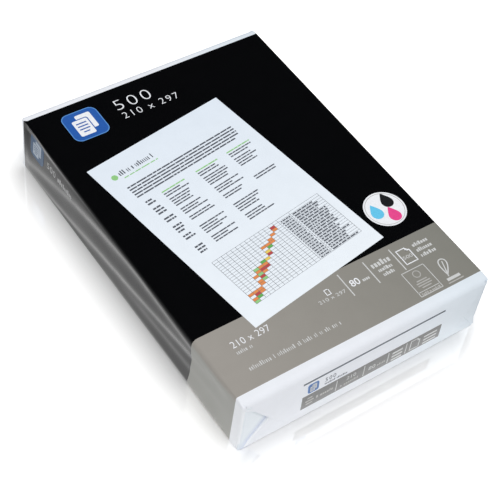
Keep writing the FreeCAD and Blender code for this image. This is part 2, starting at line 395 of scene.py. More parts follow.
flaps = {
    "rootLeft": 99.9,  # half width of the bottom flap near the pack's foot
    "rootRight": 103.6,
    "footFlare": 2.3,  # how much wider the left side is at the very foot
    "footFlareHeight": 12.0,
    "topWidest": 105.3,
    "foldFlare": 4.5,  # how much wider the top flap is at its fold
    "foldFlareSpan": (41.0, 48.0),
    "apexLeft": (83.3, 25.2),  # where the two flaps' slanting edges meet, across and up
    "apexRight": (89.5, 20.0),
    "topSlantLeft": 0.84,  # how fast the top flap narrows downwards
    "topSlantRight": 0.45,
    # thickness, rounding of the edge across and in depth; the flap rises by lift at its edge and by spread more
    # towards its middle, counted from the half width plan
    "top": {"thickness": 1.8, "rim": (0.4, 0.5), "plan": 103.5, "spread": 8.0, "lift": 1.3},
    "bottom": {"thickness": 4.2, "rim": (0.9, 0.7), "plan": 95.0, "spread": 6.6, "lift": 0.6},
    "footLift": 2.6,  # the bottom flap's lift at the foot, where many layers of paper lie
    "footLiftSpan": (-12.0, -2.0),  # heights below zero, over which that lift comes in
    "freeEdge": 3.5,  # height of the top flap's free edge
    "faceHeading": -60,  # from this heading on the top flap is the end's face
    "topStart": (140.9, -0.12),  # Y where the flap leaves the pack, and height above its face
    "bottomStart": (146.0, 0.2),
    # length and first and last heading in degrees of each run; the top flap leaves the top face, turns down
    # over a soft fold and bows out a little, and the bottom flap turns up over a tighter one and lies under it
    "topTurns": [(2.9, 3.6, 0), (1.6, 0, -14), (5.2, -14, -68), (1.8, -68, -80.5), (33.0, -80.5, -90),
                 (13.0, -90, -93)],
    "farTopTurns": [(4.4, 3.0, 0), (1.6, 0, -14), (4.2, -14, -68), (1.8, -68, -84), (33.0, -84, -90),
                    (13.0, -90, -93)],
    "bottomTurns": [(3.75, 0, 0), (2.75, 0, 85), (12.4, 85, 90), (20.0, 90, 98.5), (11.0, 98.5, 103)],
    "softness": 0.8,  # of the crossing between bulge and plan
    "columns": 57,  # points across, closer together near the sides by this power
    "crowding": 1.3,
    "rimSteps": 7,
    "wallShare": 0.85,  # how much of the thickness the upright wall takes
    "facing": (0.25, 0.98),  # how squarely a run faces the end, from none to all of the plan's drop
    "sunkEnd": 2.4,  # the body's end lies this much deeper behind its rim
}


def topHalfWidth(z, side):
    # distance from the middle to the top flap's slanting edge, on the left (-1) or the right (1)
    across, up = flaps["apexLeft"] if side < 0 else flaps["apexRight"]
    slant = flaps["topSlantLeft"] if side < 0 else flaps["topSlantRight"]
    flare = flaps["foldFlare"] * smoothStep(z, *flaps["foldFlareSpan"])
    return np.minimum(flaps["topWidest"], across + slant * (z - up) + flare)


def bottomHalfWidth(z, side):
    # the same for the bottom flap, which narrows upwards from the pack's foot through the same apex: a straight
    # line, and on the left a flare * (1 - smoothStep) at the foot
    across, up = flaps["apexLeft"] if side < 0 else flaps["apexRight"]
    root = flaps["rootLeft"] if side < 0 else flaps["rootRight"]
    flare = flaps["footFlare"] * (1 - smoothStep(z, 0.0, flaps["footFlareHeight"])) if side < 0 else 0.0
    return root - (root - across) / up * z + flare


def wrapperShell():
    # the outline carried along Y, then turned into each end by quarter circles of its own radii,
    # then drawn together on a slit in the end's middle, sunk behind the tucks and flaps; along the softer
    # edge a radius r becomes r' when each point moves by (r - r') * (1 - |nx|, 1 - |nz|)
    x, z, nx, nz, turn, slitX, soft = bodySection()
    onLeft = nx < -0.999
    limits = [pack["printStart"], pack["bandStart"], pack["printEnd"]]
    bodyEnd = pack["endPlane"] - wrapper["topShoulder"] - wrapper["topShoulderInset"]
    count = int(2 * bodyEnd / wrapper["rowStep"])
    rowY = np.unique(np.concatenate([np.linspace(-bodyEnd, bodyEnd, count), limits]))
    rowY = rowY[np.abs(rowY) <= bodyEnd]
    lapFrom, lapTo = [-wrapper["lapPlace"] + side * wrapper["lapSoft"] for side in (-1, 1)]
    lap = wrapper["lapStep"] * smoothStep(-x, lapFrom, lapTo)
    lap = np.where(nz < -0.999, lap, 0)
    planeY = pack["endPlane"] - wrapper["topShoulderInset"] * smoothStep(nz, 0.0, 1.0)

    def row(yPlace, inset):
        tight = soft * (pack["leftEdgeRadius"] - pack["cornerEdgeRadius"])
        tight = tight * (smoothStep(-yPlace, *wrapper["nearTight"]) + smoothStep(yPlace, *wrapper["farTight"]))
        px = x - tight * (1 - np.abs(nx)) - nx * inset
        pz = z + tight * (1 - np.abs(nz)) - nz * inset + lap
        depth = nx ** 2 * sideRelief(yPlace, z, np.where(nx > 0, relief["rightTurn"], 1.0))
        return np.stack([px - np.sign(nx) * depth, yPlace * np.ones_like(px), pz], -1)

    rows = [row(y, 0) for y in rowY]
    rowMaterial = [1 if y >= limits[1] else 2 if y >= limits[0] else 0 for y in rowY]

    def endRows(sign):
        made = []
        for angle in np.radians(np.linspace(0, 90, wrapper["shoulderSteps"])):
            made.append(row(sign * (planeY - turn * (1 - np.sin(angle))), turn * (1 - np.cos(angle))))
        rim = made[-1]
        for share in np.linspace(0, 1, wrapper["capSteps"])[1:]:
            px = rim[:, 0] + (slitX - rim[:, 0]) * share
            pz = rim[:, 2] + (pack["top"] / 2 - rim[:, 2]) * share
            deep = flaps["sunkEnd"] * smoothStep(share, 0.0, 0.12)
            py = pack["endPlane"] - flaps["sunkEnd"] if share == 1 else planeY - deep
            made.append(np.stack([px, sign * py * np.ones_like(px), pz], -1))
        return made

    near = endRows(-1)[::-1]
    far = endRows(1)
    # the print's last row runs on a little along the long sides
    sideEnd = planeY.max() - wrapper["sideShoulder"]
    reach = (pack["sidePrintEnd"] - pack["printEnd"]) / (sideEnd - pack["printEnd"])
    far = [rows[-1] + (far[0] - rows[-1]) * reach] + far
    rowMaterial = [0] * len(near) + rowMaterial + [0] * len(far)
    points = np.concatenate(near + rows + far)
    faces = gridFaces(len(rowMaterial), len(x), True)
    faceMaterial = np.repeat(rowMaterial[:-1], len(x))
    leftFaces = np.tile(onLeft, len(rowMaterial) - 1)
    # on the left side, bare and grey faces take their lighter copies: painted light
    faceMaterial = np.where(leftFaces & (faceMaterial != 1), faceMaterial // 2 + 3, faceMaterial)
    return makePiece("wrapper_body", points, faces,
                     [paperMaterials[name] for name in wrapper["papers"]], faceMaterial)


body = wrapperShell()
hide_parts("wrapped_ream")
print("wrapper body:", len(body.data.polygons), "faces")


# End flaps

def headedPath(start, headings, step=0.25):
    # a plane curve from its heading: y' = cos(heading), z' = sin(heading), summed in small steps;
    # headings lists (length, from, to) in degrees, eased within each length
    angles = []
    for length, first, last in headings:
        t = (np.arange(max(2, round(length / step))) + 0.5) * step / length
        angles.append(np.radians(first + (last - first) * np.clip(t, 0, 1)))
    angle = np.concatenate(angles)
    y = start[0] + np.concatenate([[0], np.cumsum(np.cos(angle) * step)])
    z = start[1] + np.concatenate([[0], np.cumsum(np.sin(angle) * step)])
    heading = np.concatenate([angle[:1], angle])
    return y, z, heading


topPath, farTopPath = [headedPath((flaps["topStart"][0], pack["top"] + flaps["topStart"][1]), flaps[turns])
                       for turns in ("topTurns", "farTopTurns")]
topPath, farTopPath = [tuple(column[path[1] > flaps["freeEdge"]] for column in path)
                       for path in (topPath, farTopPath)]
bottomPath = headedPath(flaps["bottomStart"], flaps["bottomTurns"])


def faceBulge(z):
    # how far the top flap's middle line stands outside the tucks at a height, on the flap's face
    face = topPath[2] < math.radians(flaps["faceHeading"])
    return np.interp(z, topPath[1][face][::-1], topPath[0][face][::-1]) - pack["endPlane"]


def edgeRound(x):
    # drop of the pack's top face where its long edge rounds off
    radius = np.where(x < 0, pack["cornerEdgeRadius"], pack["rightEdgeRadius"])
    past = np.clip(np.abs(x) - (pack["halfWidth"] - radius), 0, radius)
    return radius - np.sqrt(radius ** 2 - past ** 2)


def planDrop(rise, x, shape, lift):
    # how far a flap lies back from its middle line's rise, seen from above:
    # rise - softMin(rise, lift + spread * (1 - (x / plan)^2))
    plan = lift + shape["spread"] * (1 - (x / shape["plan"]) ** 2)
    return rise - softMin(rise, plan, flaps["softness"])


def endSurface(x, z):
    # Y distance of the top flap's outer face, for the end's print
    bulge = faceBulge(z)
    return pack["endPlane"] + bulge - planDrop(bulge, x, flaps["top"], flaps["top"]["lift"])


def flapPiece(name, sign, path, shape, halfWidth, lift, onTop):
    # a closed band: across, an outer run, a rounded edge and wall, an inner run and the other edge; it is
    # carried along the path, and drops towards the tucks near its sides
    thickness, rim = shape["thickness"], shape["rim"]
    y, z, heading = path
    across = np.linspace(-1, 1, flaps["columns"])
    across = np.sign(across) * (1 - (1 - np.abs(across)) ** flaps["crowding"])
    rimAngle = np.radians(np.linspace(90, 0, flaps["rimSteps"]))[1:]
    left, right = [halfWidth(z, side)[:, None] for side in (-1, 1)]
    outerX, innerX = [np.where(across < 0, left - back, right - back) * across for back in (rim[0], 0)]
    inset = np.append(rim[0] * (1 - np.cos(rimAngle)), 0)
    rimDepth = np.append(rim[1] * (np.sin(rimAngle) - 1), -flaps["wallShare"] * thickness)
    depth = np.concatenate([np.zeros(across.size), rimDepth, np.full(across.size, -thickness), rimDepth[::-1]])
    x = np.concatenate([outerX, right - inset, innerX[:, ::-1], (inset - left)[:, ::-1]], 1)
    normalY = -np.sin(heading) if onTop else np.sin(heading)
    normalZ = np.cos(heading) if onTop else -np.cos(heading)
    rise = (y - pack["endPlane"])[:, None]
    facing = smoothStep(normalY, *flaps["facing"])[:, None]
    roundOff = edgeRound(x) if onTop else 0
    move = depth - facing * np.maximum(planDrop(rise, x, shape, lift), 0) - (1 - facing) * roundOff
    py = sign * (y[:, None] + normalY[:, None] * move)
    pz = z[:, None] + normalZ[:, None] * move
    points = np.stack([x, py, pz], -1).reshape(-1, 3)
    columns = x.shape[1]
    faces = gridFaces(len(y), columns, True).tolist()
    last = (len(y) - 1) * columns
    count, half = across.size, across.size + rimDepth.size
    ends = []
    for base in (0, last):
        outer = base + np.arange(count - 1)
        inner = base + half + count - 1 - np.arange(count - 1)
        ends += np.stack([outer, outer + 1, inner - 1, inner], -1).tolist()
        ends.append(list(range(base + count - 1, base + half + 1)))
        ends.append(list(range(base + half + count - 1, base + columns)) + [base])
    # the bottom flaps' rounded left edge takes the lighter rim paper: a painted highlight
    paintedHighlightFaces = np.tile(np.arange(columns) >= columns - rimDepth.size, len(y) - 1)
    faceMaterial = np.append(paintedHighlightFaces & (not onTop), np.zeros(len(ends)))
    return makePiece(name, points, faces + ends,
                     [paperMaterials["coated_white_painted_shade"], paperMaterials["rim_painted_highlight"]], faceMaterial)


bottomLift = flaps["bottom"]["lift"]
footing = smoothStep(-bottomPath[1], *flaps["footLiftSpan"])[:, None]
bottomLift = bottomLift + (flaps["footLift"] - bottomLift) * footing
for sign, where, overPath in ((-1, "near", topPath), (1, "far", farTopPath)):
    flapPiece(f"{where}_top_flap", sign, overPath, flaps["top"], topHalfWidth, flaps["top"]["lift"], True)
    flapPiece(f"{where}_bottom_flap", sign, bottomPath, flaps["bottom"], bottomHalfWidth, bottomLift, False)
print("end flaps folded")


def slabFaces(rows, columns):
    # a closed slab between two grids of points, the front one first
    size = rows * columns
    face = gridFaces(rows, columns, False)
    ring = np.concatenate([
        np.arange(columns), np.arange(2 * columns - 1, size, columns),
        np.arange(size - 2, size - columns - 1, -1), np.arange(size - 2 * columns, 0, -columns)])
    nextRing = np.roll(ring, -1)
    wall = np.stack([ring, nextRing, nextRing + size, ring + size], -1)
    return face.tolist() + (face[:, ::-1] + size).tolist() + wall.tolist()


tucks = {
    "back": 1.8,  # how deep a tuck's solid reaches into the pack
    "lift": 0.25,  # the tuck above the body's end
    "foot": 1.3,  # and more at the pack's foot
    "footWidth": 0.45,  # and how much wider it is there
    "edgeDrop": 0.5,  # its outer edge lies this much lower
    "span": (0.3, 4.5),  # gaps to the pack's underside and top
    "overlap": 6.0,  # how far it reaches under the flaps
    "points": (72, 56),  # up and across
    "hollowDepth": {-1: 0.5, 1: 0.2},  # of the left and right tuck beside the bottom flap
    "hollowWidth": (-1.0, 6.5),  # from the flap's edge
    "hollowLow": (-2.0, 9.0),  # heights over which it comes in, and goes again
    "hollowHigh": (18.0, 36.0),
    "grooveDepth": 0.8,  # along the top flap's slanting edge
    "grooveWidth": (-0.5, 3.0),
    "grooveLow": (18.0, 26.0),
    "grooveHigh": (38.0, 44.0),
    "footHeight": 9.0,
    "edgeWidth": 3.0,
}


def tuckPiece(name, sign, side):
    # a tucked-in side wall, from the pack's upright corner to well under the flaps; beside the bottom flap it
    # is hollow and beside the top flap it has a groove, both depth * (1 - smoothStep(distance from the edge))
    z = np.linspace(tucks["span"][0], pack["top"] - tucks["span"][1], tucks["points"][0])[:, None]
    foot = 1 - smoothStep(z, 0.0, tucks["footHeight"])
    outer = pack["halfWidth"] - 0.5 * wrapper["sideShoulder"] + tucks["footWidth"] * foot
    inner = np.maximum(bottomHalfWidth(z, side), topHalfWidth(z, side)) - tucks["overlap"]
    away = outer + (inner - outer) * np.linspace(0, 1, tucks["points"][1])
    rise = (tucks["lift"] + tucks["edgeDrop"]) * smoothStep(outer - away, 0.0, tucks["edgeWidth"])
    rise = rise - tucks["edgeDrop"] + tucks["foot"] * foot

    def dent(kind, depth, edge):
        low, high = tucks[kind + "High"]
        window = smoothStep(z, *tucks[kind + "Low"]) * smoothStep(high - z, 0.0, high - low)
        return depth * (1 - smoothStep(away - edge, *tucks[kind + "Width"])) * window

    hollow = dent("hollow", tucks["hollowDepth"][side], bottomHalfWidth(z, side))
    groove = dent("groove", tucks["grooveDepth"], topHalfWidth(z, side))
    y = pack["endPlane"] + rise - hollow - groove
    x = side * away
    front = np.stack([x, sign * y, z + 0 * x], -1).reshape(-1, 3)
    back = front.copy()
    back[:, 1] = sign * (pack["endPlane"] - tucks["back"])
    # left tucks take painted shade beside the bottom flap's edge; the right tucks' paper is painted darker
    # towards the right
    paperName = "folded_painted_shade" if side < 0 else "folded_white_painted_shade"
    return makePiece(name, np.concatenate([front, back]), slabFaces(*y.shape), [paperMaterials[paperName]])


for sign, where in ((-1, "near"), (1, "far")):
    for side, hand in ((-1, "left"), (1, "right")):
        tuckPiece(f"{where}_{hand}_tuck", sign, side)
print("side tucks folded")


# Print: thin plates of ink. A part is (points, faces): points are (u, v, level), level 1 on top and 0 below.

plates = {"lift": 0.07, "sink": 0.25}
lettering = {
    "widths": (0.55, 1.2),  # of the blocks, in parts of their usual width
    "wordBreaks": 0.17,  # share of the blocks that end a word
    "tallShare": 0.3,
    "lowHeight": 0.72,  # of the other blocks, in parts of the tall ones
    "wordsPerLine": 60,  # at most
}


def bars(u, v, width, height):
    # many small upright plates at once; u, v are centres
    u, v, width, height = np.broadcast_arrays(u, v, width, height)
    u, v, width, height = [np.ravel(a).astype(float) for a in (u, v, width, height)]
    cornerU = np.array([-1, 1, 1, -1, -1, 1, 1, -1]) / 2
    cornerV = np.array([-1, -1, 1, 1, -1, -1, 1, 1]) / 2
    level = np.array([0, 0, 0, 0, 1, 1, 1, 1.0])
    points = np.stack([u[:, None] + cornerU * width[:, None], v[:, None] + cornerV * height[:, None],
                       np.broadcast_to(level, (u.size, 8))], -1).reshape(-1, 3)
    cube = np.array([[0, 3, 2, 1], [4, 5, 6, 7], [0, 1, 5, 4], [1, 2, 6, 5], [2, 3, 7, 6], [3, 0, 4, 7]])
    faces = (cube[None] + 8 * np.arange(u.size)[:, None, None]).reshape(-1, 4)
    return points, faces.tolist()


def blockRow(u0, v0, u1, v1, step=3.0):
    # one long plate with points every few millimetres, so that it follows a curved face
    count = max(1, math.ceil((u1 - u0) / step))
    tall = max(1, math.ceil((v1 - v0) / step))
    u, v = [grid.ravel() for grid in np.meshgrid(np.linspace(u0, u1, count + 1), np.linspace(v0, v1, tall + 1))]
    points = [np.column_stack([u, v, np.full(u.size, level)]) for level in (1.0, 0.0)]
    return np.concatenate(points), slabFaces(tall + 1, count + 1)


def roundedOutline(halfU, halfV, radius, segments=8):
    # closed outline of a rectangle with round corners; a radius equal to both halves gives a circle
    angle = np.radians(np.linspace(0, 90, segments))
    turns = [(1, 1, 0), (-1, 1, 90), (-1, -1, 180), (1, -1, 270)]
    pieces = [np.stack([su * (halfU - radius) + radius * np.cos(angle + math.radians(a)),
                        sv * (halfV - radius) + radius * np.sin(angle + math.radians(a))], -1)
              for su, sv, a in turns]
    return np.concatenate(pieces)


def patch(outline, rings=4):
    # a filled plate: its outline shrunk towards the middle in rings, above and below
    middle = outline.mean(0)
    share = np.arange(1, rings + 1) / rings
    upper = middle + share[:, None, None] * (outline - middle)
    size = len(outline)
    points = [np.column_stack([grid.reshape(-1, 2), np.full(rings * size, level)])
              for grid, level in ((upper, 1.0), (upper[::-1], 0.0))]
    points = np.vstack([*points, [*middle, 1], [*middle, 0]])
    faces = gridFaces(2 * rings, size, True).tolist()
    here = np.arange(size)
    after = np.roll(here, -1)
    faces += np.stack([here, after, np.full(size, 2 * rings * size)], -1).tolist()
    last = (2 * rings - 1) * size
    faces += np.stack([last + after, last + here, np.full(size, 2 * rings * size + 1)], -1).tolist()
    return points, faces


def loop(outline, width):
    # a line of even width along a closed outline, drawn as a flat ring
    ahead = np.roll(outline, -1, 0) - np.roll(outline, 1, 0)
    normal = np.stack([ahead[:, 1], -ahead[:, 0]], -1)
    normal = normal / np.linalg.norm(normal, axis=1)[:, None]
    outer, inner = outline, outline - normal * width
    rows = [np.column_stack([edge, np.full(len(outline), level)])
            for edge, level in ((outer, 1.0), (inner, 1.0), (inner, 0.0), (outer, 0.0), (outer, 1.0))]
    return np.concatenate(rows), gridFaces(5, len(outline), True).tolist()


def numerals(text, height, u, v, spacing=1.0, thin=0.0, width=None):
    # figures from the built-in font, made a mesh and scaled to a height, with the lower left corner at u, v
    curve = bpy.data.curves.new("figures", "FONT")
    curve.body = text
    curve.extrude = 0.5
    curve.offset = thin
    curve.resolution_u = 5
    curve.space_character = spacing
    holder = bpy.data.objects.new("figures", curve)
    bpy.context.scene.collection.objects.link(holder)
    bpy.context.view_layer.update()
    mesh = bpy.data.meshes.new_from_object(holder.evaluated_get(bpy.context.evaluated_depsgraph_get()))
    points = np.array([vertex.co[:] for vertex in mesh.vertices])
    faces = [list(polygon.vertices) for polygon in mesh.polygons]
    bpy.data.objects.remove(holder)
    bpy.data.curves.remove(curve)
    bpy.data.meshes.remove(mesh)
    low, high = points.min(0), points.max(0)
    scaleV = height / (high[1] - low[1])
    scaleU = scaleV if width is None else width / (high[0] - low[0])
    points = np.stack([u + (points[:, 0] - low[0]) * scaleU, v + (points[:, 1] - low[1]) * scaleV,
                       points[:, 2] + 0.5], -1)
    return points, faces


def shifted(part, u, v, turn=0.0):
    # the same part turned about its own zero and moved to u, v
    points, faces = part
    c, s = math.cos(math.radians(turn)), math.sin(math.radians(turn))
    moved = np.stack([u + c * points[:, 0] - s * points[:, 1], v + s * points[:, 0] + c * points[:, 1],
                      points[:, 2]], -1)
    return moved, faces


def wordLine(rng, u0, u1, v, height, gap=0.9, letters=(2, 9), letter=0.85):
    # one line of text as plain bars, a bar for each word
    lengths = rng.integers(letters[0], letters[1] + 1, lettering["wordsPerLine"]) * letter
    starts = u0 + np.concatenate([[0], np.cumsum(lengths[:-1] + gap)])
    ends = np.minimum(starts + lengths, u1)
    kept = ends - starts > letter
    return bars((starts[kept] + ends[kept]) / 2, v, (ends - starts)[kept], height)


def letterLine(rng, u0, u1, v, height, letter=1.5, gap=0.55, space=1.5):
    # one line of larger print as small upright blocks, one for each letter
    count = int((u1 - u0) / (letter + gap)) + 2
    widths = letter * rng.uniform(*lettering["widths"], count)
    wordBreak = (rng.random(count) < lettering["wordBreaks"]) * space
    starts = u0 + np.concatenate([[0], np.cumsum(widths[:-1] + gap + wordBreak[:-1])])
    tall = rng.random(count) < lettering["tallShare"]
    heights = np.where(tall, height, height * lettering["lowHeight"])
    kept = starts + widths < u1
    return bars((starts + widths / 2)[kept], (v + heights / 2)[kept], widths[kept], heights[kept])


def topFace(u, v, height):
    return u, v, pack["top"] + height


def leftFace(u, v, height):
    # u runs towards the near end, v up
    return -(pack["halfWidth"] - sideRelief(-u, v) + height), -u, v


def nearFace(u, v, height):
    return u, -(endSurface(u, v) + height), v


def pageIcon(halfU, halfV, fold, width):
    # a page with its upper right corner turned down, in outline
    outline = np.array([(-halfU, -halfV), (halfU, -halfV), (halfU, halfV - fold), (halfU - fold, halfV),
                        (-halfU, halfV)])
    fine = np.concatenate([a + (b - a) * np.linspace(0, 1, 6)[:-1, None]
                           for a, b in zip(outline, np.roll(outline, -1, 0))])
    ear = bars([halfU - fold + width / 2, halfU - fold / 2], [halfV - fold / 2, halfV - fold + width / 2],
               [width, fold], [fold, width])
    return loop(fine, width), ear


emblem = {
    "half": 14.9,
    "corner": 6.2,
    "rim": 0.7,
    "page": (6.4, 8.4),  # halves of a page
    "pageCorner": 1.2,
    "border": 0.9,  # blue round the front page
    "shift": 2.4,
    "rules": (1.35, 1.35, 1.35, 0.8),  # lengths in half pages
    "ruleHeight": 1.1,
}


def emblemParts(scale, blue, rim, light, rule):
    # a blue square with round corners and two white pages on it, centred on zero
    half, corner, pageCorner, border, shift = [scale * emblem[name] for name in (
        "half", "corner", "pageCorner", "border", "shift")]
    pageU, pageV = [scale * size for size in emblem["page"]]
    outline = roundedOutline(half, half, corner)
    page = patch(roundedOutline(pageU, pageV, pageCorner, 3), 3)
    wider = patch(roundedOutline(pageU + border, pageV + border, pageCorner + 0.4 * scale, 3), 3)
    back, front = shifted(page, shift, shift), shifted(page, -shift, -shift)
    gap = shifted(wider, -shift, -shift)
    rows = np.linspace(pageV * 0.55, -pageV * 0.55, len(emblem["rules"])) - shift
    lines = bars(-shift, rows, np.array(emblem["rules"]) * pageU, emblem["ruleHeight"] * scale)
    return [(blue, patch(outline, 6), 0), (rim, loop(outline, emblem["rim"] * scale), 1), (light, back, 1),
            (blue, gap, 2), (light, front, 3), (rule, lines, 4)]


def layered(parts, u=0, v=0, step=0.05):
    # lifts each (ink, part, layer) by its layer, and moves it to u, v; returns pairs with the height in level
    made = []
    for ink, (points, faces), layer in parts:
        raised = points.copy()
        raised[:, 2] = np.where(points[:, 2] > 0.5, 1 + layer * step / plates["lift"], 0)
        made.append((ink, shifted((raised, faces), u, v)))
    return made


def stackedPiece(name, surface, parts):
    # joins (ink, part) pairs into one piece, where a level above 1 lifts print that lies on print;
    # surface turns (u, v, height above the paper) into X, Y, Z
    names = sorted(set(ink for ink, _ in parts))
    allFaces, faceInk, offset = [], [], 0
    for ink, (points, faces) in parts:
        allFaces += [[index + offset for index in face] for face in faces]
        faceInk += [names.index(ink)] * len(faces)
        offset += len(points)
    points = np.concatenate([points for _, (points, _) in parts])
    height = np.where(points[:, 2] > 0.5, points[:, 2] * plates["lift"], -plates["sink"])
    placed = np.stack(surface(points[:, 0], points[:, 1], height), -1)
    materials = [paperMaterials["pictured_sheet_painted_shade"] if ink == "sheet" else inkMaterials[ink] for ink in names]
    return makePiece(name, placed, allFaces, materials, faceInk, smooth=False)


def figureParts(rows, layer=0):
    # rows of ink, text, height, left and foot, then spacing, boldness and width
    return [(ink, numerals(*row), layer) for ink, *row in rows]


def letterParts(rng, rows, layer=0):
    # rows of ink, left, right, foot and height, then the width, gap and word space of the blocks
    return [(ink, letterLine(rng, *row), layer) for ink, *row in rows]


def barParts(rows, layer=0):
    # rows of ink, middle across and up, width and height
    return [(ink, bars(*row), layer) for ink, *row in rows]


def pageParts(ink, rows, layer=0):
    # rows of middle across and up, half width, half height, fold and line width
    parts = []
    for u, v, *sizes in rows:
        page, ear = pageIcon(*sizes)
        parts += [(ink, shifted(page, u, v), layer), (ink, shifted(ear, u, v), layer + 1)]
    return parts


titlePrint = {
    "emblemPlace": (-67.8, 119.9),
    "figures": [("white", "500", 10.4, -38.8, 120.5, 1.25, -0.02, 31.0),
                ("white", "210 x 297", 6.4, -38.4, 110.5, 1.25, -0.014, 49.0)],
}


def title():
    # emblem, and plain figures where the wrapper has its title: sheets in the pack and the sheet's size
    parts = layered(emblemParts(1.0, "blue", "blueRim", "white", "blue"), *titlePrint["emblemPlace"])
    return stackedPiece("title_print", topFace, parts + layered(figureParts(titlePrint["figures"])))


title()

sheetPicture = {
    "centre": (-14.2, -2.1),
    "size": (127.8, 180.2),
    "turn": 8.95,  # degrees
    "step": 0.02,  # height of a layer of its print over the next
    "dot": (12.4, 17.0, 2.6),  # left, depth below the sheet's upper edge, and radius
    "title": (17.0, 50.0, 18.3),  # left, right and depth
    "subtitle": (18.0, 50.0, 21.4),
    "paragraph": (13.0, 30.5, 2.75),  # left, depth and pitch
    "notes": (14.5, 2.9),  # left of the first column, and pitch
    "columns": ((13.5, 24.0), (30.0, 54.0), (63.0, 88.0), (94.0, 118.0)),  # left and right
    "blocks": ((49.0, 3), (57.5, 4), (69.5, 3), (79.0, 2), (90.0, 4), (102.5, 3)),  # depth and lines
    "chart": (14.5, 8.5, 166.0, 120.0),  # margins and depths
    "chartRows": 20,
    "chartInks": ("green", "orange", "yellow", "red", "orange", "softGreen"),
}


def picturedSheet():
    # a picture of a printed page: heading, paragraph, columns of notes and a chart, all as bars and cells
    rng = np.random.default_rng(7)
    wide, tall = sheetPicture["size"]
    parts = [("sheet", patch(roundedOutline(wide / 2, tall / 2, 0.15, 2), 2), 0)]
    left, top = -wide / 2, tall / 2

    def words(ink, *args, **kwargs):
        parts.append((ink, wordLine(rng, *args, **kwargs), 1))

    start, depth, radius = sheetPicture["dot"]
    dot = patch(roundedOutline(radius, radius, radius, 6), 2)
    parts.append(("softGreen", shifted(dot, left + start, top - depth), 1))
    start, end, depth = sheetPicture["title"]
    parts.append(("text", letterLine(rng, left + start, left + end, top - depth, 4.6, 0.95, 0.95, 1.4), 1))
    start, end, depth = sheetPicture["subtitle"]
    words("softGreen", left + start, left + end, top - depth, 0.9)
    start, depth, pitch = sheetPicture["paragraph"]
    for line in range(5):
        end = left + wide - (18 if line == 4 else 12)
        words("text", left + start, end, top - depth - pitch * line, 1.3, 0.55, (3, 11))
    noteStart, notePitch = sheetPicture["notes"]
    for index, (u0, u1) in enumerate(sheetPicture["columns"]):
        for number, (depth, lines) in enumerate(sheetPicture["blocks"]):
            if index == 0:
                for line in range(2 + number % 2):
                    end = left + rng.uniform(20.5, 24.5)
                    words("text", left + noteStart, end, top - depth - notePitch * line, 1.5, 0.45, (2, 5), 0.9)
                continue
            if rng.random() < 0.16:
                continue
            for line in range(lines):
                end = left + u0 + (u1 - u0) * rng.uniform(0.62, 1.0)
                ink = "softGreen" if number == 0 and line == 0 else "text"
                words(ink, left + u0, end, top - depth - 2.45 * line, 1.1, 0.4, (3, 8), 0.9)
    margin, farMargin, low, high = sheetPicture["chart"]
    u0, u1, v0, v1 = left + margin, left + wide - farMargin, top - low, top - high
    rows = sheetPicture["chartRows"]
    rowV = np.linspace(v1, v0, rows + 1)
    pitch = rowV[0] - rowV[1]
    tableEnd = u1 - 42.0
    cellU = np.linspace(u0, tableEnd, 15)
    parts.append(("rule", bars((u0 + u1) / 2, rowV, u1 - u0, 0.22), 2))
    parts.append(("rule", bars(np.concatenate([cellU, [tableEnd + 12, u1]]), (v0 + v1) / 2, 0.26, v1 - v0), 2))
    for line in range(1, rows):
        v = (rowV[line] + rowV[line + 1]) / 2
        words("text", tableEnd + 1.5, tableEnd + 11, v, 1.1, 0.5, (2, 5), 0.7)
        words("text", tableEnd + 13.5, tableEnd + rng.uniform(30, 40), v, 1.2, 0.6, (2, 7), 0.8)
    cell = cellU[1] - cellU[0]
    colours, columns = sheetPicture["chartInks"], len(cellU) - 1
    for line in range(1, rows):
        climb = 13 - round(line * 0.66)
        reach = int(rng.integers(1, 4))
        for step in range(reach):
            place = climb - step
            if 0 <= place < columns:
                ink = colours[int(rng.integers(len(colours)))]
                parts.append((ink, bars(cellU[place] + cell / 2, (rowV[line] + rowV[line + 1]) / 2, cell * 0.98,
                                        pitch * 0.92), 1))
    placed = [(ink, shifted(part, *sheetPicture["centre"], sheetPicture["turn"]))
              for ink, part in layered(parts, step=sheetPicture["step"])]
    return stackedPiece("sheet_picture", topFace, placed)


picturedSheet()
print("title and pictured sheet printed")

badge = {
    "centre": (80.6, -60.1),
    "radius": 16.4,
    "drop": 4.9,
    "drops": (("cyan", -7.8, -1.2), ("pink", 3.0, -8.8), ("black", 5.8, 4.6)),
}


def roundBadge():
    # a pale disc with a thin ring and three ink drops
    disc, ring, drop = [roundedOutline(radius, radius, radius, segments) for radius, segments in (
        (badge["radius"], 16), (badge["radius"] - 1.2, 16), (badge["drop"], 10))]
    pointed = 1 + 0.9 * (1 - np.abs(drop[:, 0]) / badge["drop"]) ** 1.3
    drop[:, 1] = np.where(drop[:, 1] > 0, drop[:, 1] * pointed, drop[:, 1])
    parts = [("white", patch(disc, 6), 0), ("faint", loop(ring, 0.45), 1)]
    for ink, u, v in badge["drops"]:
        parts.append((ink, shifted(patch(drop, 3), u, v), 1))
    return stackedPiece("round_badge", topFace, layered(parts, *badge["centre"]))


roundBadge()

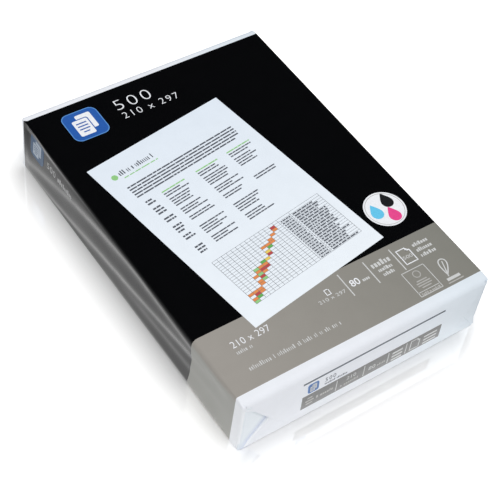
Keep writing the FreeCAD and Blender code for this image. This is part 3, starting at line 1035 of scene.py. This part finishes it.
band = {
    "figures": [("white", "210 x 297", 5.4, -86.0, -107.7, 1.05, -0.008, 31.0),
                ("pale", "210 x 297", 2.9, -13.6, -107.6, 1.05, 0.0, 23.0),
                ("white", "80", 5.8, 15.6, -106.4, 1.0, 0.008),
                ("pale", "500", 3.0, 62.9, -105.6, 1.0, 0.0, 8.2)],
    "letters": [("pale", -86.0, -73.4, -113.2, 3.0, 0.9, 0.75),
                ("pale", -85.8, -9.0, -128.0, 3.4, 0.75, 0.85, 1.8),
                ("pale", 25.4, 32.0, -106.2, 2.8, 1.1, 0.4, 0.8),
                ("pale", 38.2, 55.4, -100.6, 4.9, 1.9, 0.9, 0.0),
                ("pale", 40.4, 52.6, -105.4, 3.0, 1.5, 0.5, 0.0),
                ("pale", 41.4, 51.8, -110.0, 3.0, 1.5, 0.5, 0.0),
                ("pale", 76.2, 90.0, -99.2, 3.1, 1.5, 0.5, 0.4),
                ("pale", 76.2, 90.0, -104.4, 3.1, 1.5, 0.5, 0.4),
                ("pale", 76.2, 90.0, -109.6, 3.1, 1.5, 0.5, 0.4),
                ("faint", 54.4, 71.0, -137.4, 2.0, 1.3, 0.4, 0.5)],
    "bars": [("pale", np.array([12.4, 35.0, 58.6]), -102.6, 0.9, 21.0),  # separators
             ("faint", 62.5, np.array([-125.6, -127.6, -129.6, -131.6]), np.array([9.0, 12.0, 12.0, 8.0]), 0.9),
             ("pale", 62.5, -134.2, 20.0, 0.45),
             ("pale", 84.3, -135.2, 11.6, 2.4),
             ("faint", 84.3, -138.2, 13.6, 0.9)],
    "pages": [(67.0, -103.1, 5.4, 7.0, 3.4, 0.75), (-2.6, -101.0, 2.0, 2.6, 1.4, 0.6)],
    "boxPlace": (62.5, -126.3),
    "ringPlace": (62.5, -119.8),
    "leafPlace": (84.3, -124.6, -18),
}


def bandPrint():
    # what stands on the grey band: figures, separators, an outlined page, a boxed ring and a leaf
    rng = np.random.default_rng(11)
    parts = figureParts(band["figures"]) + letterParts(rng, band["letters"]) + barParts(band["bars"])
    parts += pageParts("white", band["pages"])
    angle = np.linspace(0, 2 * math.pi, 40, endpoint=False)
    leaf = np.stack([5.2 * np.sin(angle) * (0.62 + 0.38 * np.cos(angle)), 7.6 * np.cos(angle)], -1)[::-1]
    parts += [("pale", shifted(loop(roundedOutline(10.1, 11.8, 0.4, 3), 0.55), *band["boxPlace"]), 0),
              ("faint", shifted(loop(roundedOutline(3.2, 3.2, 3.2, 10), 0.7), *band["ringPlace"]), 0),
              ("pale", shifted(loop(leaf, 0.95), *band["leafPlace"]), 0),
              ("pale", shifted(bars(0, -1.8, 0.8, 14.0), *band["leafPlace"]), 1)]
    return stackedPiece("band_print", topFace, layered(parts))


bandPrint()


sideLabel = {
    "emblemPlace": (-126.3, 36.7),
    "emblemScale": 0.68,
    "figures": [("dim", "500", 6.0, -110.5, 33.0, 1.1)],
    "letters": [("dim", -94.0, -71.0, 33.4, 5.0, 1.7, 1.0, 1.6)],
}


def sidePrint():
    # the small emblem and figures on the left long side, where they follow the folds of the paper, in darker
    # copies of the inks: painted shade
    rng = np.random.default_rng(5)
    parts = emblemParts(sideLabel["emblemScale"], "dimBlue", "dimRim", "dimPale", "dimBlue")
    parts = layered(parts, *sideLabel["emblemPlace"], 0.04)
    parts += layered(figureParts(sideLabel["figures"]) + letterParts(rng, sideLabel["letters"]))
    return stackedPiece("side_print", leftFace, parts)


sidePrint()

endLabel = {
    "line": (-57.0, 40.8, 67.1, 42.3),  # left, foot, right and top
    "band": (-56.9, 13.5, 66.1, 28.1),
    "separators": (-27.2, -3.2, 18.2, 34.5),
    "separatorHalf": 0.35,
    "emblemPlace": (-48.3, 34.2),
    "emblemScale": 0.31,
    "figures": [("lineGrey", "500", 3.8, -38.3, 33.2, 1.25)],
    "letters": [("lineGrey", -38.5, -18.6, 30.2, 1.7, 1.1, 0.45, 0.8)],
    "bandFigures": [("pale", "210", 3.7, -18.6, 21.4, 1.1), ("pale", "80", 4.2, 1.0, 18.4, 1.1)],
    "bandLetters": [("faint", -44.5, -30.0, 19.4, 2.8, 1.4),
                    ("faint", -23.4, -6.8, 16.8, 2.2, 1.2),
                    ("faint", 8.6, 16.0, 18.6, 2.2, 1.2)],
    "bandBars": [("faint", -50.2, np.array([17.6, 20.8, 24.0]), np.array([5.5, 7.0, 4.0]), 1.4),
                 ("pale", 26.5, np.array([23.4, 19.6, 15.8]), 9.4, 1.8),
                 ("pale", 56.6, np.array([23.4, 19.6, 15.8]), 12.0, 1.6)],
    "pages": [(42.6, 20.8, 4.4, 5.4, 2.6, 0.8)],
}


def endPrint():
    # the label on the near top flap: a rule, a small emblem with figures, and a grey band with plain marks
    rng = np.random.default_rng(3)
    low, high, half = endLabel["band"][1] + 1.4, endLabel["band"][3] - 1.4, endLabel["separatorHalf"]
    parts = [("lineGrey", blockRow(*endLabel["line"]), 0), ("bandGrey", blockRow(*endLabel["band"]), 0)]
    parts += [("pale", blockRow(u - half, low, u + half, high), 1) for u in endLabel["separators"]]
    parts += [(ink, shifted(part, *endLabel["emblemPlace"]), layer) for ink, part, layer
              in emblemParts(endLabel["emblemScale"], "endBlue", "blueRim", "pale", "endBlue")]
    parts += figureParts(endLabel["figures"]) + letterParts(rng, endLabel["letters"])
    parts += figureParts(endLabel["bandFigures"], 1) + letterParts(rng, endLabel["bandLetters"], 1)
    parts += barParts(endLabel["bandBars"], 1) + pageParts("pale", endLabel["pages"], 1)
    return stackedPiece("end_print", nearFace, layered(parts))


endPrint()
print("badge, band, side and end printed")


# Stage, light and camera

stage = {
    "size": 3.0,
    "albedo": 0.72,  # what the floor gives back to the pack
    "mirrorExposure": 2.15,  # how bright polished faces see it near the pack: painted light in their reflections
    "paintedShadowExposure": 0.97,  # how bright the camera sees it beside the pack, lower than away from it: painted shadow
    "farExposure": 2.10,  # and away from it
    "fade": 0.036,
    "sheen": 0.31,
    "sheenRoughness": 0.04,
    "blockOffset": (0.005, 0.0073, 0),  # a box on the floor, a little narrower than the pack, from which the floor's painted shadow and painted light are measured
    "blockHalf": (0.093, 0.1473, 0),
    "leanFrom": -0.1535,  # before this Y it leans to the left, as the pack's mirror image does
    # share that polished faces lose, over 0.4 m from that box: the painted light fades away from the pack
    "paintedLightFade": [(0.018, 0.0), (0.028, 0.16), (0.038, 0.32), (0.06, 0.48), (0.08, 0.62), (0.10, 0.73),
                   (0.15, 0.80), (0.225, 0.85), (0.75, 0.96)],
}


def floorPiece():
    # to diffuse light a grey floor; to the camera and to polished faces an over-exposed one, made of two
    # diffuse shaders added, so that only the narrow shadow at the pack's foot is darker than white; the camera
    # also sees it at a lower exposure near a box under the pack, a painted shadow, and polished faces see it
    # bright near that box and darker away from it, painted light in their reflections
    mesh = bpy.data.meshes.new("floor")
    corners = [(x * stage["size"], y * stage["size"], -0.0002) for x, y in ((-1, -1), (1, -1), (1, 1), (-1, 1))]
    mesh.from_pydata(corners, [], [(0, 1, 2, 3)])
    material = bpy.data.materials.new("pale_floor")
    material.use_nodes = True
    material.node_tree.nodes.remove(material.node_tree.nodes["Principled BSDF"])

    def shader(kind, grey, **numbers):
        return addNode(material, kind, {"Color": (grey, grey, grey, 1), **numbers}).outputs[0]

    def mixed(first, second, factor):
        return addNode(material, "ShaderNodeMixShader", {1: first, 2: second, "Fac": factor}).outputs[0]

    def exposed(amount):
        halves = {index: shader("ShaderNodeBsdfDiffuse", amount / 2) for index in (0, 1)}
        return addNode(material, "ShaderNodeAddShader", halves).outputs[0]

    # distance from the box, which the painted shadow and painted light follow
    place = addNode(material, "ShaderNodeTexCoord").outputs["Object"]
    along = addNode(material, "ShaderNodeSeparateXYZ", {"Vector": place}).outputs["Y"]
    ahead = remap(material, along, stage["leanFrom"], stage["leanFrom"] - 0.1, 0.0, 0.1)
    leaning = addNode(material, "ShaderNodeCombineXYZ", {"X": ahead}).outputs["Vector"]
    beside = vectorStep(material, "ADD", vectorStep(material, "ADD", place, leaning), stage["blockOffset"])
    beside = vectorStep(material, "SUBTRACT", vectorStep(material, "ABSOLUTE", beside), stage["blockHalf"])
    apart = vectorStep(material, "LENGTH", vectorStep(material, "MAXIMUM", beside, (0, 0, 0)))

    # painted shadow: to the camera, the floor's exposure rises from the near one to the far one away from the
    # box
    fade = remap(material, apart, 0.0, stage["fade"])
    floorWithPaintedShadow = mixed(exposed(stage["paintedShadowExposure"]), exposed(stage["farExposure"]), fade)
    sheen = shader("ShaderNodeBsdfGlossy", 1.0, Roughness=stage["sheenRoughness"])
    # painted light: polished faces see the floor bright near the box and darker away from it
    falloff = ramp(material, remap(material, apart, 0.0, 0.4),
                   [(position, (share,) * 3) for position, share in stage["paintedLightFade"]])
    mirrored = mixed(exposed(stage["mirrorExposure"]), shader("ShaderNodeBsdfDiffuse", 0.0), falloff)
    path = addNode(material, "ShaderNodeLightPath").outputs
    toGloss = mixed(shader("ShaderNodeBsdfDiffuse", stage["albedo"]), mirrored, path["Is Glossy Ray"])
    toCamera = mixed(toGloss, mixed(floorWithPaintedShadow, sheen, stage["sheen"]), path["Is Camera Ray"])
    material.node_tree.links.new(toCamera, material.node_tree.nodes["Material Output"].inputs["Surface"])
    mesh.materials.append(material)
    floor = bpy.data.objects.new("floor", mesh)
    bpy.context.scene.collection.objects.link(floor)


floorPiece()

light = {
    "skyStrength": 0.76,  # even light from all sides
    "overheadGloss": 0.01,  # what polished faces see above them
    "horizonGloss": 0.05,  # and level with them
    "lampPlace": (-0.4, -0.75, 1.9),
    "lampSize": 1.6,
    "lampPower": 13.1,
}


def worldLight():
    # white to the camera, even to diffuse faces, and dark to polished ones, darker still above them
    world = bpy.data.worlds.new("studio")
    bpy.context.scene.world = world
    world.use_nodes = True
    background = world.node_tree.nodes["Background"]
    path = addNode(world, "ShaderNodeLightPath").outputs
    place = addNode(world, "ShaderNodeTexCoord").outputs["Generated"]
    upward = addNode(world, "ShaderNodeSeparateXYZ", {"Vector": place}).outputs["Z"]
    gloss = remap(world, upward, 0.0, 0.4, light["horizonGloss"], light["overheadGloss"],
                  interpolation_type="SMOOTHSTEP")
    others = addNode(world, "ShaderNodeMix", {0: path["Is Glossy Ray"], 2: light["skyStrength"], 3: gloss})
    strength = addNode(world, "ShaderNodeMix", {0: path["Is Camera Ray"], 2: others.outputs[0], 3: 1.0})
    world.node_tree.links.new(strength.outputs[0], background.inputs["Strength"])
    background.inputs["Color"].default_value = (1, 1, 1, 1)


worldLight()


def softLamp():
    lamp = bpy.data.lights.new("soft_lamp", "AREA")
    lamp.shape = "DISK"
    lamp.size = light["lampSize"]
    lamp.energy = light["lampPower"]
    holder = bpy.data.objects.new("soft_lamp", lamp)
    place = Vector(light["lampPlace"])
    holder.matrix_world = Matrix.Translation(place) @ (-place).to_track_quat("-Z", "Y").to_matrix().to_4x4()
    holder.visible_glossy = False
    bpy.context.scene.collection.objects.link(holder)


softLamp()

view = {
    "place": (-0.4234, -0.49134, 0.76935),
    "azimuth": -41.38,  # degrees from +Y, seen from above
    "elevation": 50.18,
    "roll": 9.12,
    "lens": 95.24,
    "sensor": 36.0,
}


def placeCamera():
    camera = bpy.data.cameras.new("camera")
    camera.lens = view["lens"]
    camera.sensor_width = view["sensor"]
    camera.clip_start = 0.05
    camera.clip_end = 50.0
    holder = bpy.data.objects.new("camera", camera)
    turn = (Matrix.Rotation(math.radians(view["azimuth"]), 4, "Z")
            @ Matrix.Rotation(math.radians(90 - view["elevation"]), 4, "X")
            @ Matrix.Rotation(math.radians(view["roll"]), 4, "Z"))
    holder.matrix_world = Matrix.Translation(view["place"]) @ turn
    bpy.context.scene.collection.objects.link(holder)
    bpy.context.scene.camera = holder


placeCamera()
bpy.context.scene.view_settings.view_transform = "Standard"
print("stage, light and camera set")
